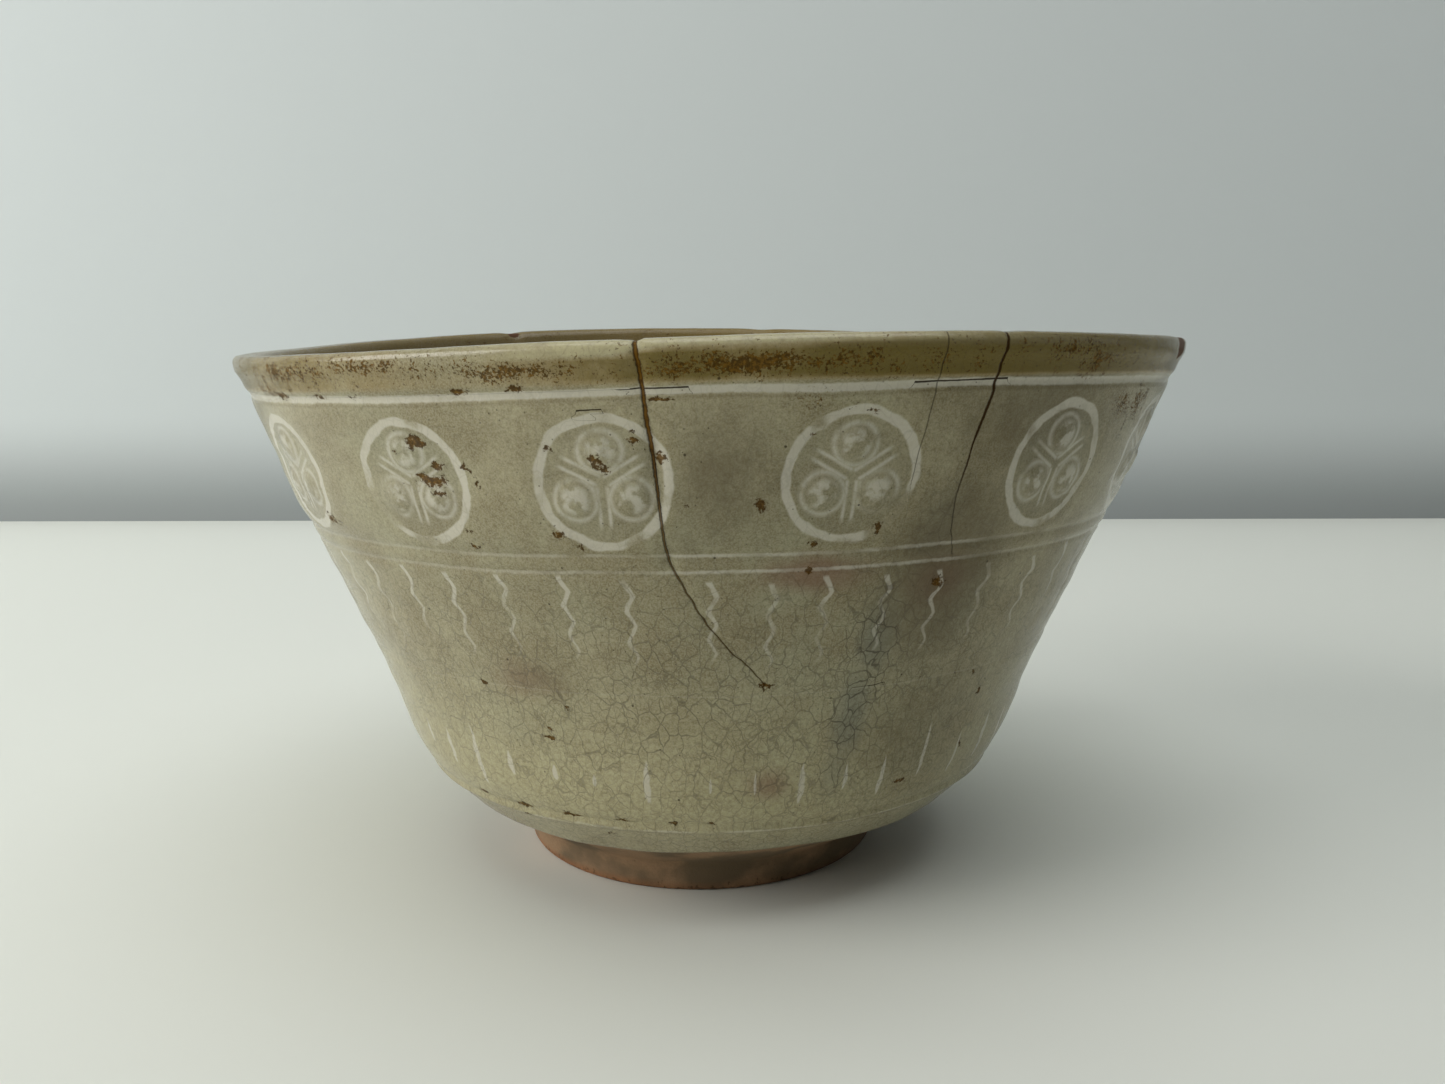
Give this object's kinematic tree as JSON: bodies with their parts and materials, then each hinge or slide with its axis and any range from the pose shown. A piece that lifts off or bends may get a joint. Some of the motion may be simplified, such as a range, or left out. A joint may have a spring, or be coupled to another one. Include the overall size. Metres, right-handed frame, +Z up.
{
  "type": "cracked stoneware bowl",
  "caption": "Deep flared stoneware bowl with inlaid roundels and wavy strokes under a crazed glaze, cracked from the rim, on an unglazed foot ring.",
  "frame": {"origin": "on the table plane, under the middle of the bowl's box", "axes": "+Z up through the open rim, -Y towards the side with the longest crack, +X to the right of that side"},
  "size_m": [0.1444, 0.1354, 0.083],
  "materials": {
    "glazed_stoneware": "glossy grey-green glaze with fine crazing and brown stains"
  },
  "bodies": {
    "root": {"bowl": "glazed_stoneware"}
  },
  "joints": []
}
